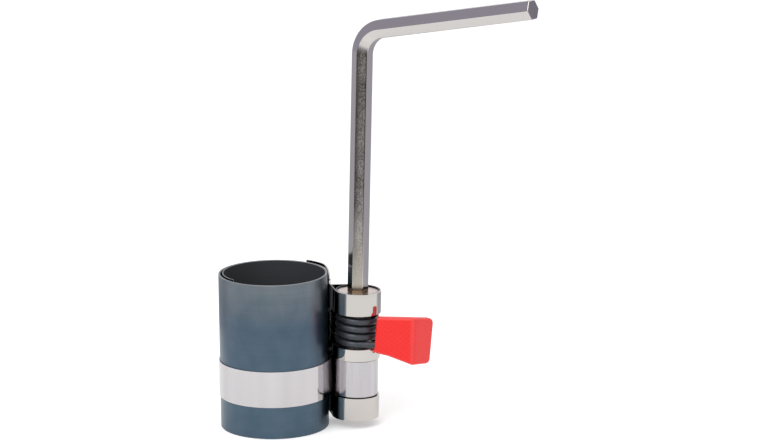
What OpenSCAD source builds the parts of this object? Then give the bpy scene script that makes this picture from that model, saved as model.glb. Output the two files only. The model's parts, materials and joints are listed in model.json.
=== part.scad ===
/* [Sleeve] */
// Inner diameter of the wound sleeve at its smallest setting
bore_d = 57; // [50:0.5:70]
// Height of the sleeve
sleeve_h = 86; // [80:1:110]
// Thickness of the sleeve's spring steel
sleeve_t = 0.5; // [0.4:0.05:0.6]
// Air between two layers of the sleeve
layer_gap = 0.08; // [0.05:0.01:0.15]
// Angle of the sleeve's inner free end, seen from above
inner_end_angle = 222; // [200:1:250]
// Angle of the sleeve's outer end, under the bracket's saddle
outer_end_angle = 15; // [14:1:20]

/* [Tension band] */
// Width of the tension band
band_w = 20; // [16:0.5:22]
// Thickness of the tension band
band_t = 0.45; // [0.3:0.05:0.6]
// Height of the band's lower edge above the sleeve's foot
band_z = 17.8; // [16:0.1:20]
// Air between the band and the sleeve
band_gap = 0.15; // [0.1:0.01:0.3]
// Turns of band on the drum
roll_turns = 3; // [2:1:3]
// Air between the wound band and the post
roll_gap = 0.1; // [0.08:0.01:0.15]
// Length left open between the band's straight run and the roll
run_short = 3.5; // [3:0.5:5]
// Angle of the band's riveted end on the saddle
band_end_angle = 42; // [40:1:45]
// Angle from the saddle's back edge to the step in the band
joggle_from = 7; // [5:1:10]

/* [Bracket] */
// Distance of the post axis from the sleeve axis at the foot
post_x = 44.1; // [43.9:0.1:45]
// Lean of the post away from the sleeve
lean = 1.6; // [0:0.1:2]
// Outer radius of the post
post_r = 12.9; // [12.5:0.1:13.2]
// Thickness of the bracket's sheet
sheet_t = 0.75; // [0.6:0.05:1]
// Height of the post's lower rim
post_z = 4.5; // [4:0.1:6]
// Height of the post's upper rim
post_top = 76.2; // [75:0.1:80]
// Air between the saddle and the sleeve
saddle_gap = 0.1; // [0.05:0.01:0.3]
// Angle of the saddle's back edge
saddle_angle = 60; // [56:1:70]
// Angle where the saddle's upper corner starts to fall
corner_angle = 38; // [36:1:42]
// Radius of the saddle's upper corner
corner_r = 8; // [6:0.5:9]
// Radius of the saddle's lower corner
foot_corner_r = 4; // [3:0.5:4]
// Angle on the post where its back wall leaves the round
back_angle = 100; // [95:1:105]
// Angle of the windows' right edge on the post
window_angle = 24; // [15:1:35]
// Air above and below the band in its window
window_gap = 0.55; // [0.5:0.05:0.7]
// Lower edge of the spring window
spring_window_z = 45; // [44:0.1:46]
// Upper edge of the spring window
spring_window_top = 63.9; // [63.5:0.1:66]

/* [Spindle] */
// Running clearance between shaft and bush
run_gap = 0.05; // [0.03:0.01:0.08]
// Depth of the head's face below the rim
head_recess = 0.7; // [0.3:0.1:1.5]
// Wall of the upper bush around the head
bush_wall = 0.65; // [0.5:0.05:0.8]
// Thickness of the upper bush's flange
flange_t = 3.4; // [3.2:0.1:4]
// Gap between a bush and the edge of the window next to it
bush_inset = 0.3; // [0.2:0.1:0.5]
// Seat gap of bushes, pins and rivets
seat_gap = 0.02; // [0.01:0.01:0.04]
// Depth of the hexagon socket
socket_depth = 37; // [30:0.5:40]
// Length of the lower bush
lower_bush_l = 9.3; // [8:0.1:9.5]
// Thickness of the thrust washer
washer_t = 1; // [0.8:0.1:1.2]
// Radius of the thrust washer
washer_r = 11.4; // [10:0.1:11.6]
// Thickness of the retaining ring
ring_t = 0.9; // [0.8:0.1:1]
// Depth of the retaining ring's groove
groove_d = 1; // [0.8:0.1:1.2]
// Outer radius of the retaining ring
ring_r = 10; // [9.5:0.1:11]
// Opening of the retaining ring, in degrees
ring_open = 70; // [40:5:90]
// Length of shaft below the retaining ring
shaft_stub = 0.7; // [0.5:0.1:0.8]
// Radius of the drum's cross pin
pin_r = 1.5; // [1.2:0.1:2]
// Radius of the pin that holds the band's end in the drum
anchor_r = 0.6; // [0.5:0.05:0.8]

/* [Brake spring and lever] */
// Diameter of the spring's wire
wire_d = 4.1; // [3.8:0.05:4.15]
// Air between the spring and the post
coil_gap = 0.1; // [0.08:0.01:0.2]
// Air between the spring and the shaft
brake_gap = 0.1; // [0.08:0.01:0.15]
// Radius of the tang that holds the spring's upper end
tang_r = 1.4; // [1:0.1:1.6]
// Rise of the spring for each turn
spring_pitch = 4.27; // [4.2:0.01:4.3]
// Turns of the spring
spring_turns = 3.25; // [3:0.25:3.25]
// Height of the wire's centre where the tail leaves the spring
tail_z = 47.5; // [47.3:0.1:47.7]
// Length of the spring's tail from the post axis
tail_l = 28; // [24:0.5:29]
// Air between the last turn and the straight tail
tail_gap = 0.25; // [0.2:0.05:0.4]
// Thickness of the lever's grip
grip_t = 4.8; // [4.5:0.1:5.5]
// Distance of the grip's inner edge from the post axis
grip_x = 11.2; // [11.1:0.1:13]
// Distance of the grip's bend from the post axis
grip_bend_x = 30.7; // [30:0.1:35]
// Length of the grip beyond its bend
grip_end_l = 14.4; // [12:0.1:16]
// Angle of the grip's bend
grip_bend = 42; // [30:1:50]
// Height of the grip's upper edge at the spring
grip_top = 63.5; // [62:0.1:63.6]
// Height of the grip's lower edge at the spring
grip_foot = 43.6; // [43:0.1:45]
// Height of the grip's lowest corner
grip_low = 36.9; // [33:0.1:38]
// Drop of the grip's tip below its bend
grip_end_drop = 1.6; // [1:0.1:3]
// Radius of the grip's outer corners
grip_corner_r = 3; // [2:0.5:4]

/* [Hexagon key] */
// Width across the key's flats
key_af = 10; // [9.6:0.05:10]
// Chamfer on the key's ends
key_chamfer = 0.6; // [0.3:0.1:1]
// Clearance of the key in its socket, across the flats
key_clear = 0.15; // [0.1:0.01:0.3]
// Gap between the key's foot and the bottom of the socket
key_under = 1; // [0.5:0.5:3]
// Height of the arm's centre line above the socket's mouth, at the leg axis
key_h = 144.2; // [120:0.1:180]
// Length of the arm from the leg axis
key_arm = 108.6; // [80:0.1:130]
// Angle by which the arm rises above square
key_rise = 12; // [0:1:20]
// Radius of the bend on the key's centre line
key_bend_r = 16; // [14:0.5:20]
// Angle of the arm, seen from above
key_turn = -34; // [-60:1:60]

/* [Rivets] */
// Radius of a rivet's shank
rivet_r = 1.4; // [1:0.1:1.6]
// Radius of a rivet's head
rivet_head_r = 2.5; // [2:0.1:3]
// Thickness of a rivet's head
rivet_head_t = 0.9; // [0.6:0.1:1.2]
// Angle of the rivets that hold the sleeve
sleeve_rivet_angle = 27; // [25:1:30]
// Angle of the rivets that hold the band's end
band_rivet_angle = 50; // [48:1:52]
// Angle of the rivets that hold the bushes
bush_rivet_angle = 60; // [50:1:80]
// Depth of a rivet's shank in a bush
bush_rivet_l = 2.5; // [2:0.1:3]

/* [Hidden] */
$fn = 96;

// How far a cutter runs past what it cuts
over = 1;

// The wound sleeve: half turns whose radius grows by half a layer each
layer_step = (sleeve_t + layer_gap) / 2;
sleeve_half_turns = 6;
sleeve_r0 = bore_d / 2 + sleeve_t / 2 - layer_step;
sleeve_front_r = sleeve_r0 + (sleeve_half_turns - 2) * layer_step + sleeve_t / 2;
sleeve_back_r = sleeve_r0 + (sleeve_half_turns - 1) * layer_step + sleeve_t / 2;
sleeve_from = 360 - inner_end_angle;
sleeve_to = 180 * sleeve_half_turns - outer_end_angle;

// The bracket's sheet: saddle, slanting web, post and back wall, at mid thickness
saddle_in = sleeve_back_r + saddle_gap;
saddle_r = saddle_in + sheet_t / 2;
saddle_out = saddle_in + sheet_t;
post_in = post_r - sheet_t;
tube_r = post_r - sheet_t / 2;
web_angle = acos((saddle_r + tube_r) / post_x);
web_l = sqrt(pow(post_x, 2) - pow(saddle_r + tube_r, 2));
back_x = tube_r * cos(back_angle);
back_y = tube_r * sin(back_angle);
back_rise = back_angle - 90;
// The back wall ends on the middle of the saddle
back_toward = (post_x + back_x) * cos(back_rise) + back_y * sin(back_rise);
back_apart = (post_x + back_x) * sin(back_rise) - back_y * cos(back_rise);
back_l = back_toward - sqrt(pow(saddle_r, 2) - pow(back_apart, 2));
corner_y = saddle_out * sin(corner_angle);

// The band on the sleeve, its run to the drum and its roll
band_top = band_z + band_w;
band_mid_z = band_z + band_w / 2;
band_front_r = sleeve_front_r + band_gap + band_t / 2;
band_back_r = sleeve_back_r + band_gap + band_t / 2;
joggle_angle = saddle_angle + joggle_from;
joggle_w = 2 * band_t;
tab_lap_angle = 1;
tab_in = saddle_out + seat_gap;
roll_out = post_in - roll_gap;
roll_step = (band_t + seat_gap) / 2;
roll_half_turns = 2 * roll_turns + 1;
roll_r0 = roll_out - band_t / 2 - (roll_half_turns - 1) * roll_step;
roll_axis_x = post_x + band_mid_z * tan(lean);
run_apart = roll_axis_x + layer_step;
run_reach = band_front_r + roll_out - band_t / 2;
run_angle = acos(run_reach / run_apart);
run_l = sqrt(pow(run_apart, 2) - pow(run_reach, 2)) - run_short;

// The drum, with a slot for the band's folded end and its pin
drum_r = roll_r0 - band_t / 2 - seat_gap;
slot_left = band_t + seat_gap;
slot_right = 2 * anchor_r + 2 * seat_gap;
slot_d = 2 * anchor_r + 2 * seat_gap;

// The spindle and its bushes, from the top down
coil_out = post_in - coil_gap;
shaft_r = coil_out - wire_d - brake_gap;
head_top = post_top - head_recess;
head_in = post_in - seat_gap - bush_wall;
flange_z = spring_window_top + bush_inset;
head_z = flange_z + flange_t;
band_window_z = band_z - window_gap;
band_window_top = band_top + window_gap;
mid_bush_z = band_window_top + bush_inset;
mid_bush_top = spring_window_z - bush_inset;
lower_bush_top = band_window_z - bush_inset;
lower_bush_z = lower_bush_top - lower_bush_l;
washer_z = lower_bush_z - washer_t;
ring_z = washer_z - ring_t;
shaft_z = ring_z - shaft_stub;
socket_z = head_top - socket_depth;

// The brake spring
wire_r = wire_d / 2;
coil_r = coil_out - wire_r;
coil_top_z = tail_z + spring_turns * spring_pitch;
tang_angle = 270 - 360 * spring_turns;
coil_steps = 30;
wire_sides = 12;

// The lever's grip
grip_slope_share = 0.2;
grip_slope_x = grip_x + (grip_bend_x - grip_x) * grip_slope_share;
grip_root = grip_t * sin(grip_bend) / 2;
corner_steps = 8;

// The key
key_foot = socket_z + key_under;
key_turn_by = 90 - key_rise;
key_tangent = key_bend_r * tan(key_turn_by / 2);
key_elbow_z = head_top + key_h;
key_bend_steps = 12;

// Rivet places
sleeve_rivet_share = [0.11, 0.5, 0.8];
band_rivet_share = [0.25, 0.75];
bush_rivet_z = [flange_z + flange_t / 2, (mid_bush_z + mid_bush_top) / 2,
                (lower_bush_z + lower_bush_top) / 2];
rivet_seat_share = 0.1;
rivet_seat = rivet_head_t * rivet_seat_share;

// The frame of the leaning post, and of the saddle that leans with it
module at_post() {
    translate([post_x, 0, 0]) rotate([0, lean, 0]) children();
}
module at_saddle() {
    at_post() translate([-post_x, 0, 0]) children();
}

// A curved wall of one radius between two angles, turned from the end at a half turn
module arc_wall(r, t, h, from, to) {
    back = from % 180 != 0;
    rotate([0, 0, back ? to : from]) mirror([0, back ? 1 : 0, 0])
        rotate_extrude(angle = to - from) translate([r - t / 2, 0]) square([t, h]);
}

// A straight wall that goes on from a curved one, square to the radius at an angle. It is
// a little thinner and lower, and starts inside the curved one, so that no faces coincide.
module straight_wall(r, t, h, angle, from, to) {
    rotate([0, 0, angle]) translate([r - t / 2 + seat_gap, from, seat_gap])
        cube([t - 2 * seat_gap, to - from, h - 2 * seat_gap]);
}

// A strip wound in half turns: it travels outward from one angle to another.
// way is 1 anticlockwise and -1 clockwise, seen from above.
module wound_strip(r0, step, t, h, from, to, way, shift) {
    last = ceil(to / 180) - 1;
    for (k = [floor(from / 180) : last]) {
        a = max(from, 180 * k);
        b = min(to, 180 * (k + 1));
        translate([(k % 2) * step + shift, 0, 0])
            arc_wall(r0 + k * step, t, h, min(way * a, way * b), max(way * a, way * b));
    }
}

// A rivet that points outward from an axis, or the hole for one
module rivet(r, l, head_at) {
    rotate([0, 90, 0]) cylinder(r = r, h = l);
    translate([head_at, 0, 0]) rotate([0, 90, 0]) cylinder(r = rivet_head_r, h = rivet_head_t);
}
module rivet_hole(r, l) {
    rotate([0, 90, 0]) cylinder(r = r + seat_gap, h = l);
}

// Each sleeve rivet: from the outermost layer to past the leaning saddle
sleeve_rivet_in = sleeve_back_r - sleeve_t;
function saddle_lift(z) = z * tan(lean) * cos(sleeve_rivet_angle);
module at_sleeve_rivet(z) {
    rotate([0, 0, sleeve_rivet_angle]) translate([sleeve_rivet_in, 0, z]) children();
}
module sleeve_rivet_holes(l) {
    for (s = sleeve_rivet_share) at_sleeve_rivet(s * post_top) rivet_hole(rivet_r, l);
}
module at_band_rivets() {
    for (s = band_rivet_share)
        at_saddle() rotate([0, 0, band_rivet_angle])
            translate([saddle_in, 0, band_z + s * band_w]) children();
}
module at_bush_rivets() {
    for (z = bush_rivet_z)
        at_post() rotate([0, 0, bush_rivet_angle])
            translate([post_r - sheet_t - bush_rivet_l, 0, z]) children();
}

module sleeve() {
    color("#4f6470")
    difference() {
        wound_strip(sleeve_r0, layer_step, sleeve_t, sleeve_h, sleeve_from, sleeve_to, -1,
                    -layer_step);
        sleeve_rivet_holes(sleeve_t + layer_gap);
    }
}

// The band round the sleeve, with its straight run to the drum and its riveted tab
module tension_band() {
    color("#d6d3d6")
    difference() {
        union() {
            translate([0, 0, band_z]) {
                translate([-layer_step, 0, 0])
                    arc_wall(band_front_r, band_t, band_w, 180, 360 - run_angle);
                arc_wall(band_back_r, band_t, band_w, joggle_angle + tab_lap_angle, 180);
                translate([-layer_step, 0, 0])
                    straight_wall(band_front_r, band_t, band_w, -run_angle, -band_t / 2, run_l);
                rotate([0, 0, joggle_angle]) translate([band_back_r - band_t / 2 - seat_gap, 0, 0])
                    cube([sheet_t + 2 * band_t + seat_gap, joggle_w, band_w]);
            }
            at_saddle() translate([0, 0, band_z])
                arc_wall(tab_in + band_t / 2, band_t, band_w, band_end_angle,
                         joggle_angle + tab_lap_angle);
        }
        at_band_rivets() rivet_hole(rivet_r, sheet_t + 2 * band_t + over);
    }
}

// The sheet in plan: saddle on the sleeve, web, round post and back wall
module bracket_sheet() {
    difference() {
        translate([-post_x, 0, 0]) arc_wall(saddle_r, sheet_t, sleeve_h, web_angle, saddle_angle);
        saddle_corners();
    }
    h = post_top - post_z;
    translate([0, 0, post_z]) {
        translate([-post_x, 0, 0])
            straight_wall(saddle_r, sheet_t, h, web_angle, -web_l - sheet_t / 2, sheet_t / 2);
        arc_wall(tube_r, sheet_t, h, web_angle - 180, back_angle);
        straight_wall(tube_r, sheet_t, h, back_angle, -sheet_t / 2, back_l);
    }
}

// What the saddle loses above and below the post, with a round corner at each
module saddle_corners() {
    translate([-post_x + saddle_r / 2, 0, 0]) {
        difference() {
            translate([0, -over, post_top]) cube([saddle_r, corner_y + over, sleeve_h]);
            translate([-over, corner_y, sleeve_h - corner_r]) rotate([0, 90, 0])
                cylinder(r = corner_r, h = saddle_r + 2 * over);
        }
        difference() {
            translate([0, -over, -over]) cube([saddle_r, corner_y + over, post_z + over]);
            translate([-over, corner_y, foot_corner_r]) rotate([0, 90, 0])
                cylinder(r = foot_corner_r, h = saddle_r + 2 * over);
        }
    }
}

// A window: the right, front and left of the post and the web are cut away
module window(z, top) {
    h = top - z;
    r = post_r + over;
    translate([0, 0, z]) {
        rotate([0, 0, 180 - web_angle]) rotate_extrude(angle = 180 + web_angle + window_angle)
            square([r, h]);
        translate([-post_x, 0, 0]) rotate([0, 0, web_angle])
            translate([saddle_in - over, -web_l, 0]) cube([sheet_t + 2 * over, web_l, h]);
    }
}

module bracket_shell() {
    color("#c9ccd2")
    difference() {
        at_post() difference() {
            bracket_sheet();
            window(band_window_z, band_window_top);
            window(spring_window_z, spring_window_top);
        }
        sleeve_rivet_holes(post_r);
        at_band_rivets() translate([-over, 0, 0]) rivet_hole(rivet_r, sheet_t + 2 * over);
        at_bush_rivets() rivet_hole(rivet_r, bush_rivet_l + sheet_t + over);
    }
}

module sleeve_rivets() {
    color("#9aa0a6")
    for (s = sleeve_rivet_share) {
        z = s * post_top;
        reach = saddle_out + saddle_lift(z) - sleeve_rivet_in + rivet_seat;
        at_sleeve_rivet(z) rivet(rivet_r, reach, reach);
    }
}

module band_rivets() {
    reach = tab_in + band_t - saddle_in + rivet_seat;
    color("#9aa0a6") at_band_rivets() rivet(rivet_r, reach, reach);
}

module bush_rivets() {
    reach = bush_rivet_l + sheet_t + rivet_seat;
    color("#9aa0a6") at_bush_rivets() rivet(rivet_r, reach, reach);
}

// A plain ring bush in the post
module ring_bush(z, top) {
    color("#8d8f94")
    difference() {
        at_post() translate([0, 0, z]) difference() {
            cylinder(r = post_in - seat_gap, h = top - z);
            translate([0, 0, -over]) cylinder(r = shaft_r + run_gap, h = top - z + 2 * over);
        }
        at_bush_rivets() rivet_hole(rivet_r, bush_rivet_l + over);
    }
}

// The upper bush: a thin wall round the head, over a flange that takes the spring's tang
module upper_bush() {
    color("#b9bcc2")
    difference() {
        at_post() {
            difference() {
                translate([0, 0, flange_z]) cylinder(r = post_in - seat_gap, h = post_top - flange_z);
                translate([0, 0, head_z]) cylinder(r = head_in, h = post_top);
                cylinder(r = shaft_r + run_gap, h = post_top);
                rotate([0, 0, tang_angle]) translate([coil_r, 0, 0])
                    cylinder(r = tang_r + run_gap, h = head_z + over);
            }
        }
        at_bush_rivets() rivet_hole(rivet_r, bush_rivet_l + over);
    }
}
module mid_bush() { ring_bush(mid_bush_z, mid_bush_top); }
module lower_bush() { ring_bush(lower_bush_z, lower_bush_top); }

// A hexagon prism with two flats square to the direction of the key's arm
module hexagon(af, h) {
    rotate([0, 0, key_turn + 30]) cylinder(r = af / 2 / cos(30), h = h, $fn = 6);
}

module spindle() {
    color("#c2a6a0")
    at_post() difference() {
        union() {
            translate([0, 0, head_z]) cylinder(r = head_in - run_gap, h = head_top - head_z);
            translate([0, 0, shaft_z]) cylinder(r = shaft_r, h = head_z - shaft_z);
        }
        translate([0, 0, socket_z]) hexagon(key_af + key_clear, socket_depth + over);
        translate([0, 0, ring_z]) difference() {
            cylinder(r = shaft_r + over, h = ring_t);
            translate([0, 0, -over]) cylinder(r = shaft_r - groove_d, h = ring_t + 2 * over);
        }
        cross_pin(pin_r + seat_gap, drum_r + over);
    }
}

// The pin across the drum and the shaft, or its hole
module cross_pin(r, reach) {
    translate([0, 0, band_mid_z]) rotate([0, 90, 0])
        translate([0, 0, -reach]) cylinder(r = r, h = 2 * reach);
}

module band_drum() {
    color("#8d8f94")
    at_post() difference() {
        translate([0, 0, band_z]) cylinder(r = drum_r, h = band_w);
        cylinder(r = shaft_r + seat_gap, h = post_top);
        cross_pin(pin_r + seat_gap, drum_r + over);
        translate([-slot_left, drum_r - slot_d, 0])
            cube([slot_left + slot_right, slot_d + over, post_top]);
    }
}

module drum_pin() {
    color("#6f7378") at_post() cross_pin(pin_r, sqrt(pow(drum_r, 2) - pow(pin_r, 2)) - seat_gap);
}

// The band wound on the drum, with its inner end folded into the drum's slot
module band_roll() {
    color("#c9c7ca")
    at_post() translate([0, 0, band_z]) {
        wound_strip(roll_r0, roll_step, band_t, band_w, 90, 180 * roll_half_turns - run_angle, 1, 0);
        translate([-band_t, drum_r - slot_d + seat_gap, 0])
            cube([band_t, roll_r0 - drum_r + slot_d - seat_gap, band_w]);
    }
}

// The pin that wedges the band's end in the slot
module band_anchor_pin() {
    color("#6f7378")
    at_post() translate([seat_gap + anchor_r, drum_r - slot_d + seat_gap + anchor_r, band_z])
        cylinder(r = anchor_r, h = band_w);
}

module thrust_washer() {
    color("#8d8f94")
    at_post() translate([0, 0, washer_z]) difference() {
        cylinder(r = washer_r, h = washer_t);
        translate([0, 0, -over]) cylinder(r = shaft_r + run_gap, h = washer_t + 2 * over);
    }
}

module retaining_ring() {
    color("#6f7378")
    at_post() translate([0, 0, ring_z]) rotate([0, 0, ring_open / 2])
        rotate_extrude(angle = 360 - ring_open)
            translate([shaft_r - groove_d + seat_gap, 0])
                square([ring_r - shaft_r + groove_d - seat_gap, ring_t]);
}

// A closed skin over rings of points that follow one another
module skin_of(points, count, sides) {
    walls = [for (k = [0 : count - 2], j = [0 : sides - 1])
        let (n = (j + 1) % sides, a = k * sides, b = a + sides)
        each [[a + j, b + j, b + n], [a + j, b + n, a + n]]];
    ends = [[for (j = [0 : sides - 1]) j],
            [for (j = [sides - 1 : -1 : 0]) (count - 1) * sides + j]];
    polyhedron(points, concat(walls, ends));
}

// Points of the coil's wire: rings that climb clockwise from the front
function coil_point(k, j) =
    let (a = 270 - 360 * k / coil_steps, b = 360 * j / wire_sides, r = coil_r + wire_r * cos(b))
    [r * cos(a), r * sin(a), tail_z + spring_pitch * k / coil_steps + wire_r * sin(b)];

module coil() {
    rings = round(coil_steps * spring_turns) + 1;
    skin_of([for (k = [0 : rings - 1], j = [0 : wire_sides - 1]) coil_point(k, j)], rings, wire_sides);
}

module wrap_spring() {
    color("#3a3d42")
    at_post() {
        coil();
        rotate([0, 0, tang_angle]) translate([coil_r, 0, coil_top_z])
            cylinder(r = tang_r, h = head_z - coil_top_z - seat_gap);
    }
}

// The straight end of the spring, which the grip is moulded on
module tail_wire(r, l) {
    translate([tail_gap, -coil_r, tail_z]) rotate([0, 90, 0]) cylinder(r = r, h = l);
}
module spring_tail() {
    color("#3a3d42") at_post() tail_wire(wire_r, tail_l - tail_gap);
}

// A plate that stands on its outline, from its back face to its front face
module standing_plate(points) {
    rotate([90, 0, 0]) linear_extrude(grip_t) polygon(points);
}
function round_corner(cx, cz, r, from, to) =
    [for (i = [0 : corner_steps]) let (a = from + (to - from) * i / corner_steps)
        [cx + r * cos(a), cz + r * sin(a)]];

module release_lever() {
    color("#f43a38")
    at_post() difference() {
        translate([0, -coil_r + grip_t / 2, 0]) {
            standing_plate([[grip_x, grip_foot], [grip_slope_x, grip_foot],
                            [grip_bend_x, grip_low], [grip_bend_x, grip_top], [grip_x, grip_top]]);
            translate([grip_bend_x, -grip_t, 0]) rotate([0, 0, grip_bend]) translate([0, grip_t, 0])
                standing_plate(concat(
                    [[-grip_root, grip_low], [0, grip_low]],
                    round_corner(grip_end_l - grip_corner_r, grip_low - grip_end_drop + grip_corner_r,
                                 grip_corner_r, 270, 360),
                    round_corner(grip_end_l - grip_corner_r, grip_top - grip_end_drop - grip_corner_r,
                                 grip_corner_r, 0, 90),
                    [[0, grip_top], [-grip_root, grip_top]]));
        }
        tail_wire(wire_r + seat_gap, tail_l - tail_gap + seat_gap);
    }
}

// The key's stations: turn of the centre line, run beyond the tangent point, width across flats
key_leg_z = key_elbow_z - key_tangent;
key_stations = concat(
    [[0, key_foot - key_leg_z, key_af - 2 * key_chamfer],
     [0, key_foot - key_leg_z + key_chamfer, key_af]],
    [for (i = [0 : key_bend_steps]) [key_turn_by * i / key_bend_steps, 0, key_af]],
    [[key_turn_by, key_arm - key_tangent - key_chamfer, key_af],
     [key_turn_by, key_arm - key_tangent, key_af - 2 * key_chamfer]]);
function key_point(s, j) =
    let (t = s[0], r = s[2] / 2 / cos(30), u = r * cos(60 * j + 30), v = r * sin(60 * j + 30),
         x = key_bend_r * (1 - cos(t)) + s[1] * sin(t), z = key_bend_r * sin(t) + s[1] * cos(t))
    [x + u * cos(t), v, z - u * sin(t)];

// The leg, the bend and the arm of the key, as one hexagon swept along its centre line
module hex_key() {
    color("#a9a7ad")
    at_post() translate([0, 0, key_leg_z]) rotate([0, 0, key_turn])
        skin_of([for (s = key_stations, j = [0 : 5]) key_point(s, j)], len(key_stations), 6);
}

sleeve();
tension_band();
bracket_shell();
sleeve_rivets();
band_rivets();
upper_bush();
mid_bush();
lower_bush();
bush_rivets();
spindle();
band_drum();
drum_pin();
band_roll();
band_anchor_pin();
thrust_washer();
retaining_ring();
wrap_spring();
spring_tail();
release_lever();
hex_key();
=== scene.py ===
"""A piston ring compressor: a wound blued sleeve, its band, a chromed post with a spring brake,
and the hexagon key that drives it."""
import json
import math
import bmesh
import bpy
import numpy as np
from mathutils import Matrix, Vector


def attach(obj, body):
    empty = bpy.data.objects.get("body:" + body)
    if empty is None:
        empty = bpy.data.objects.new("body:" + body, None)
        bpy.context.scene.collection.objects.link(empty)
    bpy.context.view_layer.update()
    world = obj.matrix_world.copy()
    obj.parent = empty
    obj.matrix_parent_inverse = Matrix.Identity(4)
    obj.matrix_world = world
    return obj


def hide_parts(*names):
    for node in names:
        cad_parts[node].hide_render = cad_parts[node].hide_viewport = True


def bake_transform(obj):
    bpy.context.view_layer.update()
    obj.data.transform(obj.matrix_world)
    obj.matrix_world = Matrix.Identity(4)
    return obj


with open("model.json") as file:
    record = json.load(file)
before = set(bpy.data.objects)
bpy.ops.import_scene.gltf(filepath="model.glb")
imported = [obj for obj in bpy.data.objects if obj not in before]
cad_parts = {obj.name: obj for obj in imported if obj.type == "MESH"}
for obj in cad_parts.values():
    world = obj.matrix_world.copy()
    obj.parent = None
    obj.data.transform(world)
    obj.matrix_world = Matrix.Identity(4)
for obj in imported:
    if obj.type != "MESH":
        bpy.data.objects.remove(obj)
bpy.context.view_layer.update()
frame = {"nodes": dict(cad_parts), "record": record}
MM = 0.001
NODES = frame["nodes"]

# Sizes of the real pieces, in millimetres and degrees
POST_X = 44.1
LEAN = math.radians(1.6)
SLEEVE_H = 86.0
SLEEVE_T = 0.5
LAYER_STEP = 0.29
SLEEVE_R0 = 28.46
SLEEVE_END = 144.0
SLEEVE_TO = 1065.0
SLEEVE_STATIONS = 360
SLEEVE_LAST_HALF = 5
SLEEVE_EDGE = 0.12
STAND_OFF = 2.7
STAND_OFF_OVER = 95.0
HEAD_TOP = 75.5
WIRE_D = 4.1
COIL_R = 10.0
COIL_PITCH = 4.27
COIL_TURNS = 3.25
TAIL_Z = 47.5
TAIL_L = 28.0
TANG_R = 1.4
TANG_TOP = 67.5
HOOK_REACH = 2.0
GRIP_T = 4.8
GRIP_FROM = 11.2
GRIP_BEND_X = 30.7
GRIP_END = 15.8
GRIP_BEND = math.radians(42)
GRIP_TOP = 63.5
GRIP_FOOT = 43.6
GRIP_LOW = 36.9
GRIP_SLOPE_SHARE = 0.33
GRIP_DROP = 1.6
GRIP_TOP_DROP = 2.5
GRIP_FOOT_DROP = 1.9
GRIP_ROOT_OUT = 0.7
GRIP_CORNER = 3.0
GRIP_EDGE = 1.3
GRIP_FRONT_FILLET = 1.6
GRIP_BACK_FILLET = 1.2
GRIP_ROOT_OVER = 6.0
GRIP_ROOT_SLANT = 1.5
GRIP_TIP_SLANT = 1.3
KEY_AF = 10.0
KEY_FOOT = 39.5
KEY_H = 144.2
KEY_ARM = 108.6
KEY_RISE = 12.0
KEY_BEND_R = 16.0
KEY_TURN = math.radians(-34)
KEY_CORNER = 0.55
KEY_CHAMFER = 0.6
SHEET_EDGE = 0.14
RIVET_R = 2.5
RIVET_T = 1.0
RIVET_SHANK_R = 1.4
RIVET_POLE_R = 0.05
# Where the chrome is painted near black as shade in the fold beside the sleeve, in millimetres
FOLD_X = 34.6
FOLD_Y = 10.1

# Rivets as (angle, height, seat radius, depth of the shank, axis along X)
SLEEVE_RIVETS = [(27, 8.38, 31.22, 1.5, 0), (27, 38.1, 31.96, 2.2, 0), (27, 60.96, 32.53, 2.8, 0)]
BAND_RIVETS = [(50, 22.8, 31.48, 1.0, -POST_X), (50, 32.8, 31.48, 1.0, -POST_X)]
BUSH_RIVETS = [(60, 65.9, 12.9, 3, 0), (60, 41.68, 12.9, 3, 0), (60, 12.3, 12.9, 3, 0)]

# Distances of the studio, in millimetres: where the floor fades and where it is dark
FLOOR_SIZE = 4000.0
FLOOR_DROP = 0.2
FLOOR_INNER = 220.0
FLOOR_OUTER = 3900.0
FLOOR_NEAR = 310.0
FLOOR_FAR = 460.0
BEHIND_FROM, BEHIND_TO = 50.0, 110.0
DARK_FROM, DARK_TO = -600.0, -340.0


def linear(code):
    """An sRGB hex colour as linear red, green, blue and alpha."""
    srgb = [int(code[i:i + 2], 16) / 255 for i in (1, 3, 5)]
    return tuple(c / 12.92 if c <= 0.04045 else ((c + 0.055) / 1.055) ** 2.4 for c in srgb) + (1.0,)


def add(tree, kind, values=None, links=None, **settings):
    """Adds a node with its settings, the values of its inputs and the outputs that feed them."""
    node = tree.nodes.new(kind)
    for name, value in settings.items():
        setattr(node, name, value)
    for key, value in (values or {}).items():
        node.inputs[key].default_value = value
    for key, source in (links or {}).items():
        tree.links.new(source, node.inputs[key])
    return node


def finish(name, colour, metallic, roughness, **sockets):
    """A material with one Principled surface. Returns it, its node tree, the surface and the
    object's own coordinates."""
    made = bpy.data.materials.new(name)
    made.use_nodes = True
    tree = made.node_tree
    surface = tree.nodes["Principled BSDF"]
    surface.inputs["Base Color"].default_value = linear(colour)
    surface.inputs["Metallic"].default_value = metallic
    surface.inputs["Roughness"].default_value = roughness
    for key, value in sockets.items():
        surface.inputs[key].default_value = value
    place = add(tree, "ShaderNodeTexCoord").outputs["Object"]
    return made, tree, surface, place


def streaks(tree, place, size, stretch, detail=2.0):
    """Noise in cells of size millimetres, made longer by stretch along x, y and z."""
    scale = [1 / (size * MM * s) for s in stretch]
    moved = add(tree, "ShaderNodeMapping", {"Scale": scale}, {"Vector": place})
    noise = add(tree, "ShaderNodeTexNoise", {"Scale": 1.0, "Detail": detail}, {"Vector": moved.outputs[0]})
    return noise.outputs["Fac"]


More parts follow.
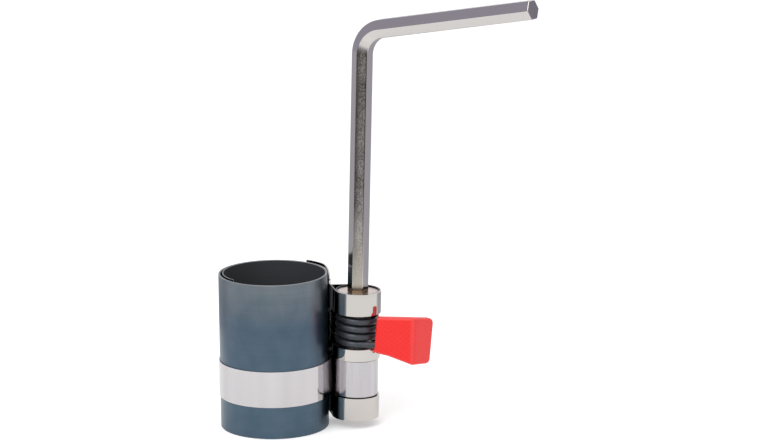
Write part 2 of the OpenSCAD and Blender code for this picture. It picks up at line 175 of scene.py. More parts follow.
def between(tree, fac, low, high, start=0.3, end=0.7):
    """A value or colour that goes from low to high while fac goes from start to end."""
    if isinstance(low, str):
        ramp = add(tree, "ShaderNodeValToRGB", links={"Fac": fac})
        for stop, place, code in zip(ramp.color_ramp.elements, (start, end), (low, high)):
            stop.position = place
            stop.color = linear(code)
        return ramp.outputs["Color"]
    values = {"From Min": start, "From Max": end, "To Min": low, "To Max": high}
    return add(tree, "ShaderNodeMapRange", values, {"Value": fac}).outputs["Result"]


def mixed(tree, fac, first, second, mode="MIX"):
    """Two colours mixed by fac, each a hex code or an output."""
    mix = add(tree, "ShaderNodeMix", data_type="RGBA", blend_type=mode)
    for key, value in ((0, fac), (6, first), (7, second)):
        if isinstance(value, str):
            mix.inputs[key].default_value = linear(value)
        elif isinstance(value, float):
            mix.inputs[key].default_value = value
        else:
            tree.links.new(value, mix.inputs[key])
    return mix.outputs[2]


def bumped(tree, surface, height, depth, strength=1.0):
    """Gives the surface a relief of depth millimetres from a height between 0 and 1."""
    values = {"Distance": depth * MM, "Strength": strength}
    bump = add(tree, "ShaderNodeBump", values, {"Height": height})
    tree.links.new(bump.outputs["Normal"], surface.inputs["Normal"])


def blued_steel():
    """Blued spring steel strip, rolled: a blue-grey oxide under a film of oil, greyer towards the
    upper rim, blacker inside, with bright cut edges and faint streaks along the strip. The
    attribute "inside" is 1 on the strip's inner face, and "cut" is 1 on its cut edges."""
    made, tree, surface, place = finish("Blued spring steel", "#4f6470", 1.0, 0.26)
    surface.inputs["Coat Weight"].default_value = 0.35
    surface.inputs["Coat Roughness"].default_value = 0.2
    # Greyer towards the upper rim: a colour ramp by height.
    height = add(tree, "ShaderNodeSeparateXYZ", links={"Vector": place}).outputs["Z"]
    share = between(tree, height, 0.0, 1.0, 0.0, SLEEVE_H * MM)
    shade = between(tree, share, "#586e7f", "#8d979c", 0.05, 1.0)
    third = shade.node.color_ramp.elements.new(0.7)
    third.color = linear("#5c7183")
    cloud = between(tree, streaks(tree, place, 8, (1, 1, 1.3), 4.0), "#5c757c", "#a09ba0")
    mottled = mixed(tree, 0.4, shade, cloud, "OVERLAY")
    drawn = streaks(tree, place, 0.9, (60, 60, 1))
    mottled = mixed(tree, 0.15, mottled, between(tree, drawn, "#a2a2a2", "#cccccc"), "OVERLAY")
    inside = add(tree, "ShaderNodeAttribute", attribute_name="inside").outputs["Fac"]
    cut = add(tree, "ShaderNodeAttribute", attribute_name="cut").outputs["Fac"]
    lined = mixed(tree, inside, mottled, "#4b4d51")
    tree.links.new(mixed(tree, cut, lined, "#94989b"), surface.inputs["Base Color"])
    tree.links.new(between(tree, inside, 1.0, 0.55, 0.0, 1.0), surface.inputs["Metallic"])
    rough = between(tree, drawn, 0.35, 0.4)
    duller = add(tree, "ShaderNodeMath", {2: 0.0}, {0: inside, 1: rough}, operation="MULTIPLY_ADD")
    tree.links.new(rough, duller.inputs[2])
    tree.links.new(duller.outputs[0], surface.inputs["Roughness"])
    bumped(tree, surface, drawn, 0.0008)
    return made


def stainless():
    """Bright rolled stainless strip: nearly a mirror, with very faint lines along the strip and
    faint upright bands where it has been flexed."""
    made, tree, surface, place = finish("Bright rolled stainless strip", "#d3d0d2", 1.0, 0.1)
    flexed = streaks(tree, place, 9, (1, 1, 20), 1.0)
    tree.links.new(between(tree, flexed, "#cbc8ca", "#d3d0d2"), surface.inputs["Base Color"])
    drawn = streaks(tree, place, 0.7, (60, 60, 1))
    tree.links.new(between(tree, drawn, 0.08, 0.15), surface.inputs["Roughness"])
    bumped(tree, surface, streaks(tree, place, 18, (1, 1, 2)), 0.01)
    return made


def chrome():
    """Bright decorative chrome on formed sheet: a mirror with a slight wave left by the folding. In
    the narrow fold beside the sleeve its colour is painted near black, as painted shade and a painted dark
    reflection of the sleeve."""
    made, tree, surface, place = finish("Bright chrome plated sheet", "#d6d2ce", 1.0, 0.04)
    # Painted shade: the mask below turns the chrome near black (#1e2024) in the fold beside the sleeve,
    # standing in for its shade and the sleeve's dark reflection.
    across = add(tree, "ShaderNodeSeparateXYZ", links={"Vector": place})
    near = between(tree, across.outputs["X"], 1.0, 0.0, FOLD_X * MM, (FOLD_X + 1.5) * MM)
    front = between(tree, across.outputs["Y"], 1.0, 0.0, FOLD_Y * MM, (FOLD_Y + 0.3) * MM)
    normal = add(tree, "ShaderNodeNewGeometry").outputs["Normal"]
    aside = add(tree, "ShaderNodeSeparateXYZ", links={"Vector": normal}).outputs["X"]
    facing = between(tree, aside, 1.0, 0.0, -0.6, -0.4)
    within = add(tree, "ShaderNodeMath", None, {0: front, 1: facing}, operation="MAXIMUM").outputs[0]
    both = add(tree, "ShaderNodeMath", None, {0: near, 1: within}, operation="MULTIPLY").outputs[0]
    tree.links.new(mixed(tree, both, "#d1cdc9", "#1e2024"), surface.inputs["Base Color"])
    bumped(tree, surface, streaks(tree, place, 9, (1, 1, 1.5)), 0.02)
    return made


def brushed_roll():
    """The stainless band wound on its drum, scuffed along its length by winding, with faint upright
    bands where the layers below press through."""
    made, tree, surface, place = finish("Scuffed stainless band", "#c4c2c6", 1.0, 0.26)
    pressed = streaks(tree, place, 1.7, (1, 1, 40), 1.0)
    tree.links.new(between(tree, pressed, "#c5c2c5", "#cfcccf"), surface.inputs["Base Color"])
    drawn = streaks(tree, place, 0.9, (80, 80, 1))
    tree.links.new(between(tree, drawn, 0.17, 0.19), surface.inputs["Roughness"])
    return made


def blackened_wire():
    """Oil-blackened spring wire: a dark satin oxide with soft highlights along each coil."""
    made, tree, surface, place = finish("Oil-blackened spring wire", "#4b4e53", 0.8, 0.38)
    grain = streaks(tree, place, 0.9, (3, 3, 1))
    tree.links.new(between(tree, grain, "#45484d", "#54575c"), surface.inputs["Base Color"])
    tree.links.new(between(tree, grain, 0.3, 0.44), surface.inputs["Roughness"])
    return made


def red_plastic():
    """Injection-moulded red polypropylene: a fine grain, crossed by two sets of slanting furrows
    that leave small diamonds, and paler on its rounded edges as a painted highlight (the attribute "edge")."""
    made, tree, surface, place = finish("Moulded red polypropylene", "#fb1c18", 0.0, 0.42)
    surface.inputs["IOR"].default_value = 1.49
    lines = []
    for slant in (-50, 50):
        turn = {"Rotation": (0, math.radians(slant), 0)}
        turned = add(tree, "ShaderNodeMapping", turn, {"Vector": place})
        values = {"Scale": 1 / (2.1 * 3.1416 * MM), "Distortion": 0.6, "Detail": 1.0}
        wave = add(tree, "ShaderNodeTexWave", values, {"Vector": turned.outputs[0]}, bands_direction="X")
        lines.append(between(tree, wave.outputs["Fac"], 0.0, 1.0, 0.0, 0.25))
    flat = add(tree, "ShaderNodeMath", None, {0: lines[0], 1: lines[1]}, operation="MULTIPLY").outputs[0]
    grain = streaks(tree, place, 0.45, (1, 1, 1), 1.0)
    height = add(tree, "ShaderNodeMath", {1: 0.8}, {0: flat, 2: grain}, operation="MULTIPLY_ADD").outputs[0]
    # Painted highlight: the attribute "edge" mixes in a paler red (#fd5a58) on the rounded edges, the bend
    # and the tip.
    edge = add(tree, "ShaderNodeAttribute", attribute_name="edge").outputs["Fac"]
    grained = mixed(tree, flat, "#fc2722", "#fa1a16")
    tree.links.new(mixed(tree, edge, grained, "#fd5a58"), surface.inputs["Base Color"])
    bumped(tree, surface, height, 0.06)
    tree.links.new(between(tree, grain, 0.3, 0.44), surface.inputs["Roughness"])
    return made


def nickel_key():
    """Nickel plate over cold-drawn hexagon bar: smooth on most flats, with small dark pits on the
    flat where the plate is worn (the attribute "worn"), darker towards its borders as painted shade (the
    attribute
    "over" runs from 0 at its right border to 1 at its left), and a painted brown shade and reflection at
    the foot, where it enters the head."""
    made, tree, surface, place = finish("Nickel plated drawn bar", "#d2cecc", 1.0, 0.12)
    pits = streaks(tree, place, 0.6, (1, 1, 1.4), 3.0)
    patches = streaks(tree, place, 7, (1, 1, 2), 2.0)
    spotted = mixed(tree, 0.5, between(tree, pits, "#645f5a", "#f2efec", 0.42, 0.6),
                    between(tree, patches, "#9a9490", "#f0edec", 0.35, 0.65))
    worn = add(tree, "ShaderNodeAttribute", attribute_name="worn").outputs["Fac"]
    over = add(tree, "ShaderNodeAttribute", attribute_name="over").outputs["Fac"]
    # Painted shade: the worn flat is darkened towards both its borders.
    borders = between(tree, over, "#5a5a5a", "#8c8c8c", 0.0, 1.0)
    for spot, code in ((0.1, "#fbfbfb"), (0.55, "#ececec")):
        borders.node.color_ramp.elements.new(spot).color = linear(code)
    spotted = mixed(tree, 1.0, spotted, borders, "MULTIPLY")
    # Painted shade and reflection: a brown tint (#a08a6c) where the key enters the recess of the head,
    # standing in for its shade and the recess walls it reflects.
    height = add(tree, "ShaderNodeSeparateXYZ", links={"Vector": place}).outputs["Z"]
    smooth = between(tree, height, 0.85, 0.0, (HEAD_TOP + 8) * MM, (HEAD_TOP + 50) * MM)
    surfaced = mixed(tree, worn, "#d2cecc", mixed(tree, smooth, spotted, "#cac4b7"))
    above = between(tree, height, 1.0, 0.0, HEAD_TOP * MM, (HEAD_TOP + 5) * MM)
    below = between(tree, height, 0.3, 1.0, (HEAD_TOP - 9) * MM, (HEAD_TOP - 3) * MM)
    tint = add(tree, "ShaderNodeMath", None, {0: above, 1: below}, operation="MULTIPLY").outputs[0]
    tree.links.new(mixed(tree, tint, surfaced, "#a08a6c"), surface.inputs["Base Color"])
    rough = add(tree, "ShaderNodeMath", {1: 0.14, 2: 0.1}, {0: worn}, operation="MULTIPLY_ADD").outputs[0]
    tree.links.new(rough, surface.inputs["Roughness"])
    relief = add(tree, "ShaderNodeMath", None, {0: worn, 1: pits}, operation="MULTIPLY").outputs[0]
    bumped(tree, surface, relief, 0.003)
    return made


def turned_nickel():
    """Dull nickel on the turned spindle: faint rings round its axis and a slight pink cast."""
    made, tree, surface, place = finish("Dull nickel plated turning", "#cdbfbc", 1.0, 0.3)
    axis = Vector((POST_X + HEAD_TOP * math.sin(LEAN), 0, HEAD_TOP)) * MM
    moved = add(tree, "ShaderNodeMapping", {"Location": -axis}, {"Vector": place})
    rings = add(tree, "ShaderNodeTexWave", {"Scale": 1 / (4 * MM), "Distortion": 0.4},
                {"Vector": moved.outputs[0]}, wave_type="RINGS", rings_direction="Z")
    tree.links.new(between(tree, rings.outputs["Fac"], 0.24, 0.36), surface.inputs["Roughness"])
    bumped(tree, surface, rings.outputs["Fac"], 0.006)
    return made


def turned_steel():
    """Plain turned steel of the bushes, pins, washer and rivets: satin, with a fine grain."""
    made, tree, surface, place = finish("Plain turned steel", "#8f9095", 1.0, 0.34)
    grain = streaks(tree, place, 0.6, (4, 4, 1))
    tree.links.new(between(tree, grain, 0.28, 0.42), surface.inputs["Roughness"])
    return made


def bush_painted_dark():
    """The thin bush round the spindle's head, painted near black as the shade in its gap, so that it reads
    as a dark ring.
    """
    made, tree, surface, place = finish("Bush painted dark as shade", "#39383b", 1.0, 0.35)
    grain = streaks(tree, place, 0.6, (4, 4, 1))
    tree.links.new(between(tree, grain, 0.3, 0.42), surface.inputs["Roughness"])
    return made


MATERIALS = {
    "blued_steel": blued_steel(),
    "stainless_band": stainless(),
    "chrome_sheet": chrome(),
    "plain_steel": turned_steel(),
    "black_spring": blackened_wire(),
    "nickel_spindle": turned_nickel(),
    "red_plastic": red_plastic(),
    "nickel_key": nickel_key(),
}
ROLL = brushed_roll()
BUSH_PAINTED_DARK = bush_painted_dark()


def at_post(points):
    """Points of the leaning post's frame, in the row frame: turned about Y by the lean and moved
    along X to the post."""
    x, y, z = points[..., 0], points[..., 1], points[..., 2]
    c, s = math.cos(LEAN), math.sin(LEAN)
    return np.stack([POST_X + x * c + z * s, y, z * c - x * s], -1)


def skin(name, rings, slot, sharp=35.0, closed=False):
    """A closed skin over rings of points: neighbouring rings are joined by quads, and the first and
    last ring are filled, unless the rings themselves close."""
    count, round_ = rings.shape[:2]
    index = np.arange(count * round_).reshape(count, round_)
    below = index if closed else index[:-1]
    above = np.roll(index, -1, 0) if closed else index[1:]
    quads = np.stack([below, np.roll(below, -1, 1), np.roll(above, -1, 1), above], -1).reshape(-1, 4)
    faces = quads.tolist()
    if not closed:
        faces += [index[0][::-1].tolist(), index[-1].tolist()]
    mesh = bpy.data.meshes.new(name)
    mesh.from_pydata((rings.reshape(-1, 3) * MM).tolist(), [], faces)
    mesh.shade_smooth()
    mesh.set_sharp_from_angle(angle=math.radians(sharp))
    mesh.update()
    made = bpy.data.objects.new(name, mesh)
    bpy.context.scene.collection.objects.link(made)
    made.data.materials.append(MATERIALS[slot])
    made.modifiers.new("flat_faces_stay_flat", "WEIGHTED_NORMAL").keep_sharp = True
    return made


def marked(made, name, values):
    """Keeps one number for each point of a piece, for its material."""
    kept = made.data.attributes.new(name, "FLOAT", "POINT")
    kept.data.foreach_set("value", np.ascontiguousarray(values, np.float32).ravel())


def along(path, sections):
    """Rings of a section carried along a path. path is (centre, side, up) arrays of one row for
    each station, and sections is (station, point, 2): across the side and the up vectors."""
    centre, side, up = path
    return (centre[:, None] + sections[..., :1] * side[:, None] + sections[..., 1:] * up[:, None])


def bevelled(name, width, slot):
    """A copy of a CAD piece with its edges rounded off, as stamping and plating leave them."""
    mesh = NODES[name].data.copy()
    joined = bmesh.new()
    joined.from_mesh(mesh)
    bmesh.ops.remove_doubles(joined, verts=joined.verts, dist=0.002 * MM)
    bmesh.ops.dissolve_limit(joined, angle_limit=math.radians(0.2), verts=joined.verts, edges=joined.edges)
    joined.to_mesh(mesh)
    joined.free()
    mesh.shade_smooth()
    mesh.set_sharp_from_angle(angle=math.radians(35))
    mesh.materials.clear()
    mesh.materials.append(MATERIALS[slot])
    made = bpy.data.objects.new(name + "_rounded", mesh)
    bpy.context.scene.collection.objects.link(made)
    edge = made.modifiers.new("rounded_edges", "BEVEL")
    edge.width, edge.segments = width * MM, 2
    edge.limit_method, edge.angle_limit = "ANGLE", math.radians(40)
    made.modifiers.new("flat_faces_stay_flat", "WEIGHTED_NORMAL").keep_sharp = True
    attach(made, "housing")
    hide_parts(name)


def wound_sleeve():
    """The sleeve: an upright strip section with rounded cut edges, carried along half circles whose
    radius grows by half a layer each. Its inner free end springs inwards, by a share that falls
    with the square of the way from the end."""
    a = np.linspace(SLEEVE_END, SLEEVE_TO, SLEEVE_STATIONS)
    half = np.minimum(np.floor(a / 180), SLEEVE_LAST_HALF)
    way = np.clip((a - SLEEVE_END) / STAND_OFF_OVER, 0, 1)
    r = SLEEVE_R0 + LAYER_STEP * half - STAND_OFF * (1 - way) ** 2
    t = -np.radians(a)
    side = np.stack([np.cos(t), np.sin(t), 0 * t], -1)
    shift = (half % 2 - 1) * LAYER_STEP
    centre = r[:, None] * side + np.stack([shift, 0 * t, 0 * t], -1)
    up = np.zeros_like(side) + [0, 0, 1]
    q = np.linspace(0, math.pi / 2, 4)
    x = SLEEVE_T / 2 - SLEEVE_EDGE * (1 - np.sin(q))
    z = SLEEVE_EDGE * (1 - np.cos(q))
    across = np.concatenate([x, x[::-1], -x, -x[::-1]])
    rise = np.concatenate([z, SLEEVE_H - z[::-1], SLEEVE_H - z, z[::-1]])
    section = np.stack([across, rise], -1)
    rings = along((centre, side, up), np.repeat(section[None], len(a), 0))
    made = skin("wound_sleeve", rings, "blued_steel", 50)
    marked(made, "inside", np.repeat((across < 0)[None], len(a), 0))
    is_cut = np.abs(rise - SLEEVE_H / 2) > SLEEVE_H / 2 - SLEEVE_EDGE * 0.9
    marked(made, "cut", np.repeat(is_cut[None], len(a), 0))
    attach(made, "housing")
    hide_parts("sleeve")


def hexagon_key():
    """The key: a hexagon with rounded corners, carried up the leg, round a bend of constant radius
    and out along the arm. Its ends are chamfered."""
    bend = math.radians(90 - KEY_RISE)
    tangent = KEY_BEND_R * math.tan(bend / 2)
    leg_z = HEAD_TOP + KEY_H - tangent
    arm = KEY_ARM - tangent
    steps = np.linspace(0, bend, 33)
    turn = np.concatenate([[0, 0], steps, [bend, bend]])
    run = np.concatenate([[KEY_FOOT - leg_z, KEY_FOOT - leg_z + KEY_CHAMFER], 0 * steps,
                          [arm - KEY_CHAMFER, arm]])
    af = np.full(len(turn), KEY_AF)
    af[[0, -1]] -= 2 * KEY_CHAMFER
    corner = np.radians(60 * np.repeat(np.arange(6), 5) + 30)
    spread = corner + np.radians(np.tile(np.linspace(-30, 30, 5), 6))
    centre_r = (af / 2 - KEY_CORNER)[:, None] / math.cos(math.radians(30))
    u = centre_r * np.cos(corner) + KEY_CORNER * np.cos(spread)
    v = centre_r * np.sin(corner) + KEY_CORNER * np.sin(spread)
    zero = 0 * turn
    centre = np.stack([KEY_BEND_R * (1 - np.cos(turn)) + run * np.sin(turn), zero,
                       leg_z + KEY_BEND_R * np.sin(turn) + run * np.cos(turn)], -1)
    side = np.stack([np.cos(turn), zero, -np.sin(turn)], -1)
    up = np.stack([zero, zero + 1, zero], -1)
    rings = along((centre, side, up), np.stack([u, v], -1))
    c, s = math.cos(KEY_TURN), math.sin(KEY_TURN)
    x, y = rings[..., 0].copy(), rings[..., 1].copy()
    rings[..., 0], rings[..., 1] = x * c - y * s, x * s + y * c
    made = skin("key_bar", at_post(rings), "nickel_key", 50)
    flat = np.isin(np.arange(30), [24, 25])
    left = np.arange(30) == 24
    marked(made, "worn", np.clip(1.1 - turn / 0.4, 0, 1)[:, None] * flat[None])
    marked(made, "over", np.repeat(left[None], len(turn), 0))
    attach(made, "key")
    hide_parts("hex_key")


def brake_spring():
    """The spring's wire: a straight tail along X, then a helix that climbs clockwise, then a short
    bend up into the tang. The helix is (r cos a, r sin a, z0 + pitch t) with a falling as t grows."""
    tail = np.linspace(TAIL_L, 0.6, 12)
    t = np.linspace(0.0, COIL_TURNS, int(80 * COIL_TURNS) + 1)
    a = math.radians(270) - 2 * math.pi * t
    rise = COIL_PITCH * t
    helix = np.stack([COIL_R * np.cos(a), COIL_R * np.sin(a), TAIL_Z + rise], -1)
    straight = np.stack([tail, 0 * tail - COIL_R, 0 * tail + TAIL_Z], -1)
    end = helix[-1]
    ahead = helix[-1] - helix[-2]
    ahead /= np.linalg.norm(ahead)
    q = np.linspace(0, math.pi / 2, 9)[1:]
    hook = end + HOOK_REACH * np.sin(q)[:, None] * ahead
    hook = hook + HOOK_REACH * (1 - np.cos(q))[:, None] * np.array([0, 0, 1.0])
    centre = np.concatenate([straight, helix, hook, [[hook[-1][0], hook[-1][1], TANG_TOP]]])
    forward = np.gradient(centre, axis=0)
    forward /= np.linalg.norm(forward, axis=1)[:, None]
    out = centre * [1, 1, 0]
    out[:len(tail)] = [0, -1, 0]
    side = out - (out * forward).sum(1)[:, None] * forward
    side /= np.linalg.norm(side, axis=1)[:, None]
    up = np.cross(forward, side)
    b = np.linspace(0, 2 * math.pi, 24, endpoint=False)
    wire = np.full(len(centre), WIRE_D / 2)
    wire[-1] = TANG_R
    section = np.stack([np.cos(b), np.sin(b)], -1)[None] * wire[:, None, None]
    made = skin("brake_spring", at_post(along((centre, side, up), section)), "black_spring", 40)
    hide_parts("wrap_spring", "spring_tail")
    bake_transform(made)


def bent_line(start, corner, end, fillet, count):
    """Points from start to a rounded corner and on to end. The round is a quadratic curve between
    the points that lie a fillet's length from the corner."""
    start, corner, end = (np.array(p, float) for p in (start, corner, end))
    a = corner + (start - corner) / np.linalg.norm(start - corner) * fillet
    b = corner + (end - corner) / np.linalg.norm(end - corner) * fillet
    q = np.linspace(0, 1, count)[:, None]
    curve = (1 - q) ** 2 * a + 2 * q * (1 - q) * corner + q ** 2 * b
    return a, curve, b


def lever_grip():
    """The moulded grip: a rounded bar section between a front and a back line that are both bent,
    whose height follows the outline and whose tip rounds off by a quarter circle."""
    c, s = math.cos(GRIP_BEND), math.sin(GRIP_BEND)
    front_y, back_y = -COIL_R - GRIP_T / 2, -COIL_R + GRIP_T / 2
    miter = GRIP_T * math.tan(GRIP_BEND / 2)
    inner = np.array([GRIP_BEND_X - miter, back_y])
    tip = np.array([GRIP_BEND_X + GRIP_END * c, front_y + GRIP_END * s])
    back_tip = tip + GRIP_T * np.array([-s, c])
    flat = GRIP_BEND_X - GRIP_FROM
    # stations: lengths along the first part, the bend, then lengths along the end part
    first = np.concatenate([GRIP_EDGE * (1 - np.cos(np.linspace(0, math.pi / 2, 5))),
                            np.linspace(GRIP_EDGE, flat - GRIP_FRONT_FILLET, 26)[1:]])
    bend = 9
    left = GRIP_CORNER * (1 - np.sin(np.linspace(0, math.pi / 2, 12)))
    fine = GRIP_EDGE * (1 - np.sin(np.linspace(0, math.pi / 2, 6)))
    even = np.linspace(GRIP_END - GRIP_FRONT_FILLET, GRIP_CORNER, 12)
    last = GRIP_END - np.sort(np.unique(np.concatenate([even, left, fine])))[::-1]
    share_first, share_last = first / flat, last / GRIP_END
    lines = []
    outline = (((GRIP_FROM, front_y), (GRIP_BEND_X, front_y), tip, GRIP_FRONT_FILLET),
               ((GRIP_FROM, back_y), inner, back_tip, GRIP_BACK_FILLET))
    for start, corner, end, fillet in outline:
        a, curve, b = bent_line(start, corner, end, fillet, bend)
        start, end = np.array(start, float), np.array(end, float)
        lead = start + (a - start) * (share_first / share_first[-1])[:, None]
        tail = b + (end - b) * ((share_last - share_last[0]) / (1 - share_last[0]))[:, None]
        lines.append(np.concatenate([lead[:-1], curve, tail[1:]]))
    front, back = lines
    middle = np.linspace(flat - GRIP_FRONT_FILLET, flat + GRIP_FRONT_FILLET, bend)
    run = np.concatenate([first[:-1], middle, flat + last[1:]])
    total = flat + GRIP_END
    slope = GRIP_SLOPE_SHARE * flat
    low_at = [GRIP_FOOT, GRIP_FOOT - GRIP_FOOT_DROP, GRIP_LOW, GRIP_LOW - GRIP_DROP]
    low = np.interp(run, [0, slope, flat, total], low_at)
    top = np.interp(run, [0, flat, total], [GRIP_TOP, GRIP_TOP, GRIP_TOP - GRIP_TOP_DROP])

    def inset(gap, r):
        """How far a quarter circle of radius r draws in, at a gap from the end."""
        near = np.clip(r - gap, 0, r)
        return r - np.sqrt(r * r - near * near)

    low, top = low + inset(total - run, GRIP_CORNER), top - inset(total - run, GRIP_CORNER)
    low, top = low + inset(run, GRIP_EDGE), top - inset(run, GRIP_EDGE)
    draw = inset(total - run, GRIP_EDGE) + inset(run, GRIP_EDGE)
    q = np.linspace(0, math.pi / 2, 6)
    rise, fall = GRIP_EDGE * (1 - np.sin(q)), GRIP_EDGE * (1 - np.cos(q))
    # corners in turn: upper front, lower front, lower back, upper back
    depth = np.concatenate([rise, rise[::-1], GRIP_T - rise, GRIP_T - rise[::-1]])
    up = np.concatenate([-fall, fall[::-1], fall, -fall[::-1]])
    is_top = np.repeat([1.0, 0.0, 0.0, 1.0], len(q))
    shrink = (GRIP_T - 2 * draw) / GRIP_T
    w = (draw[:, None] + depth[None] * shrink[:, None]) / GRIP_T
    xy = front[:, None] * (1 - w[..., None]) + back[:, None] * w[..., None]
    z = is_top * top[:, None] + (1 - is_top) * low[:, None] + up[None]
    # the root's front edge and the whole tip slant: the lower, the more to the left
    depth_down = (GRIP_TOP - z) / (GRIP_TOP - GRIP_FOOT)
    near_root = np.clip(1 - run / GRIP_ROOT_OVER, 0, 1)[:, None] * (1 - w)
    near_tip = np.clip((run - flat) / GRIP_END, 0, 1)[:, None]
    xy[..., 0] -= (GRIP_ROOT_OUT + GRIP_ROOT_SLANT * depth_down) * near_root
    xy[..., 0] -= GRIP_TIP_SLANT * depth_down * near_tip
    rings = np.concatenate([xy, z[..., None]], -1)
    made = skin("lever_grip", at_post(rings), "red_plastic", 40)
    # The attribute "edge" marks where the grip's colour is painted paler as a highlight: the rounded edges,
    # the bend and the tip.
    round_share = np.tile(np.sin(2 * q), 4)[None] * np.ones_like(z)
    bend_share = np.clip(1 - np.abs(run - flat) / 2.2, 0, 1)[:, None]
    end_share = np.clip(1 - (total - run) / 2.5, 0, 1)[:, None]
    marked(made, "edge", np.maximum(np.maximum(0.8 * round_share, 0.45 * bend_share),
                                    np.maximum(0.6 * end_share, 0.3 * near_tip.clip(0, 0.2) * 5)))
    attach(made, "lever")
    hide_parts("release_lever")


def rivets(name, replaced, spots):
    """Rivets with domed heads: the profile (r, height) is turned about each rivet's axis. A spot is
    (angle round the axis it stands off, height, seat radius, depth of the shank, axis along X),
    and the whole set stands in the post's frame, or upright round the sleeve."""
    q = np.linspace(0, math.pi / 2, 7)
    turned = np.linspace(0, 2 * math.pi, 33)[:-1]
    rings = []
    for angle, height, seat, depth, from_x in spots:
        shank = [RIVET_POLE_R, RIVET_SHANK_R, RIVET_SHANK_R, RIVET_R]
        r = np.concatenate([shank, RIVET_R * np.cos(q[1:-1]), [RIVET_POLE_R]])
        h = np.concatenate([[-depth, -depth, 0, 0], RIVET_T * np.sin(q[1:-1]), [RIVET_T]])
        a = math.radians(angle)
        out = np.array([math.cos(a), math.sin(a), 0])
        aside = np.array([-math.sin(a), math.cos(a), 0])
        ring = ((seat + h)[:, None, None] * out + (r[:, None] * np.cos(turned))[..., None] * aside
                + (r[:, None] * np.sin(turned))[..., None] * np.array([0, 0, 1.0]))
        rings.append(ring + [from_x, 0, height])
    made = [skin(f"{name}_{i}", at_post(ring) if name != "sleeve_rivet" else ring, "plain_steel", 40)
            for i, ring in enumerate(rings)]
    for piece in made:
        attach(piece, "housing")
        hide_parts(replaced)


for name, node in NODES.items():
    slot_name = next(row["material_slot"] for row in frame["record"]["subparts"] if row["node"] == name)
    node.data.materials.clear()
    # The upper bush takes a colour painted near black: the shade in the gap round the spindle's head.
    other = {"band_roll": ROLL, "upper_bush": BUSH_PAINTED_DARK}
    node.data.materials.append(other.get(name, MATERIALS[slot_name]))

bevelled("bracket_shell", SHEET_EDGE, "chrome_sheet")
wound_sleeve()
rivets("sleeve_rivet", "sleeve_rivets", SLEEVE_RIVETS)
rivets("band_rivet", "band_rivets", BAND_RIVETS)
rivets("bush_rivet", "bush_rivets", BUSH_RIVETS)
hexagon_key()
brake_spring()
lever_grip()


def stage_piece(name, corners, material):
    """A flat piece of the studio, from its corners in millimetres. Two rows of them make a ring."""
    corners = np.array(corners, float) * MM
    faces = [tuple(range(len(corners)))]
    if corners.ndim == 3:
        index = np.arange(corners.shape[1])
        after = np.roll(index, -1)
        faces = np.stack([index, index + len(index), after + len(index), after], -1).tolist()
    mesh = bpy.data.meshes.new(name)
    mesh.from_pydata(corners.reshape(-1, 3).tolist(), [], faces)
    made = bpy.data.objects.new(name, mesh)
    bpy.context.scene.collection.objects.link(made)
    made.data.materials.append(material)
    return made


def glow(name, colour, strength=1.0):
    """A card that shows one colour, however it is lit."""
    made = bpy.data.materials.new(name)
    made.use_nodes = True
    tree = made.node_tree
    tree.nodes.clear()
    card = add(tree, "ShaderNodeEmission", {"Color": linear(colour), "Strength": strength})
    add(tree, "ShaderNodeOutputMaterial", links={"Surface": card.outputs[0]})
    return made


def far_floor():
    """The floor away from the object, as reflections see it: it fades with distance and behind
    the object, and most of all in front, where the room is dark behind the camera."""
    made = glow("Floor out of the light", "#ffffff")
    tree = made.node_tree
    card = next(node for node in tree.nodes if node.type == "EMISSION")
    place = add(tree, "ShaderNodeTexCoord").outputs["Object"]
    away = add(tree, "ShaderNodeVectorMath", None, {0: place}, operation="LENGTH").outputs["Value"]
    front = add(tree, "ShaderNodeSeparateXYZ", links={"Vector": place}).outputs["Y"]
    far = between(tree, away, 0.0, 1.0, FLOOR_NEAR * MM, FLOOR_FAR * MM)
    behind = between(tree, front, 0.0, 1.0, BEHIND_FROM * MM, BEHIND_TO * MM)
    share = add(tree, "ShaderNodeMath", None, {0: far, 1: behind}, operation="MAXIMUM").outputs[0]
    faded = between(tree, share, "#ffffff", "#b4b3bb", 0.0, 1.0)
    dark = between(tree, front, 1.0, 0.0, DARK_FROM * MM, DARK_TO * MM)
    tree.links.new(mixed(tree, dark, faded, "#7b7774"), card.inputs["Color"])
    return made


def background_seen(tree, lighting, seen_as, mirrored):
    """One level where a surface is lit, one where the camera sees the background, and one for a
    reflection or a view through glass."""
    path = add(tree, "ShaderNodeLightPath")
    kinds = {0: path.outputs["Is Glossy Ray"], 1: path.outputs["Is Transmission Ray"]}
    other = add(tree, "ShaderNodeMath", None, kinds, operation="MAXIMUM").outputs[0]
    level = add(tree, "ShaderNodeMapRange", {"To Min": lighting, "To Max": mirrored}, {"Value": other})
    values = {"To Max": seen_as}
    links = {"Value": path.outputs["Is Camera Ray"], "To Min": level.outputs["Result"]}
    return add(tree, "ShaderNodeMapRange", values, links).outputs["Result"]


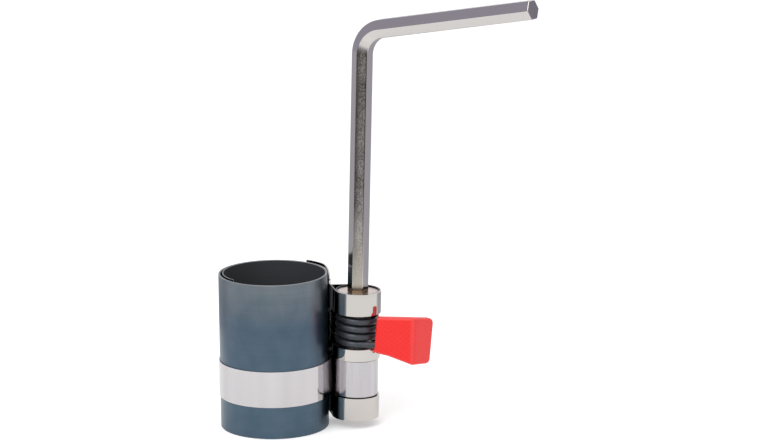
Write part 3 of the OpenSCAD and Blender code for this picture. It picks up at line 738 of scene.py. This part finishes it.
def studio():
    """A white floor that takes the shadow, a white surround, one soft lamp, and grey cards that
    only reflections see."""
    white, tree, surface = finish("Matt white floor", "#ffffff", 0.0, 0.9)[:3]
    surface.inputs["Specular IOR Level"].default_value = 0.0
    surface.inputs["Emission Color"].default_value = (1, 1, 1, 1)
    tree.links.new(background_seen(tree, 0.0, 0.32, 0.1), surface.inputs["Emission Strength"])
    far, low = FLOOR_SIZE, -FLOOR_DROP
    stage_piece("floor", [(-far, -far, low), (far, -far, low), (far, far, low), (-far, far, low)], white)
    left = [(-900, -1300, 100), (-900, 900, 100), (-500, 900, 1300), (-500, -1300, 1300)]
    turned = np.linspace(0, 2 * math.pi, 97)[:-1]
    circle = np.stack([np.cos(turned), np.sin(turned), 0 * turned], -1)
    ring = np.stack([FLOOR_INNER * circle, FLOOR_OUTER * circle])
    right = [(900, -400, 130), (900, 1500, 130), (900, 1500, 700), (900, -400, 700)]
    cards = [stage_piece("left_card", left, glow("Grey card", "#a5a2b0")),
             stage_piece("right_card", right, glow("Darker grey card", "#8b8896")),
             stage_piece("far_floor", ring, far_floor())]
    for card in cards:
        card.visible_camera = card.visible_diffuse = card.visible_shadow = False
    world = bpy.data.worlds.new("White surround")
    bpy.context.scene.world = world
    world.use_nodes = True
    tree = world.node_tree
    tree.nodes.clear()
    back = add(tree, "ShaderNodeBackground", {"Color": (1, 1, 1, 1)},
               {"Strength": background_seen(tree, 0.72, 1.0, 1.0)})
    add(tree, "ShaderNodeOutputWorld", links={"Surface": back.outputs[0]})
    lamp = bpy.data.lights.new("soft_lamp", "AREA")
    lamp.shape = "RECTANGLE"
    lamp.size, lamp.size_y, lamp.energy = 1.2, 1.0, 11
    made = bpy.data.objects.new("soft_lamp", lamp)
    bpy.context.scene.collection.objects.link(made)
    spot = Vector((-0.7, -1.0, 1.3))
    aim = (spot - Vector((0.02, 0, 0.06))).to_track_quat("Z", "Y")
    made.matrix_world = Matrix.Translation(spot) @ aim.to_matrix().to_4x4()


def camera():
    """The camera of the photograph: a long lens, a little above the object, worked out from the
    ellipses of the sleeve's rims. The target is the middle of the sleeve, and is held off centre."""
    focal, elevation, roll, distance = 3000.0, math.radians(12.95), math.radians(-0.44), 1653.0
    width, height, target_x, target_y, target_z = 760.0, 440.0, 274.5, 348.4, 43.0
    back = Vector((0, -math.cos(elevation), math.sin(elevation)))
    right = Vector((1, 0, 0))
    up = back.cross(right)
    side = right * math.cos(roll) + up * math.sin(roll)
    top = up * math.cos(roll) - right * math.sin(roll)
    off_x = (target_x - width / 2) / focal * distance
    off_y = -(target_y - height / 2) / focal * distance
    place = (Vector((0, 0, target_z)) + back * distance - side * off_x - top * off_y) * MM
    data = bpy.data.cameras.new("camera")
    data.sensor_width = 36.0
    data.lens = focal / width * data.sensor_width
    data.clip_end = 20.0
    made = bpy.data.objects.new("camera", data)
    bpy.context.scene.collection.objects.link(made)
    made.matrix_world = Matrix.Translation(place) @ Matrix((side, top, back)).transposed().to_4x4()
    bpy.context.scene.camera = made


studio()
camera()
bpy.context.scene.view_settings.view_transform = "Standard"
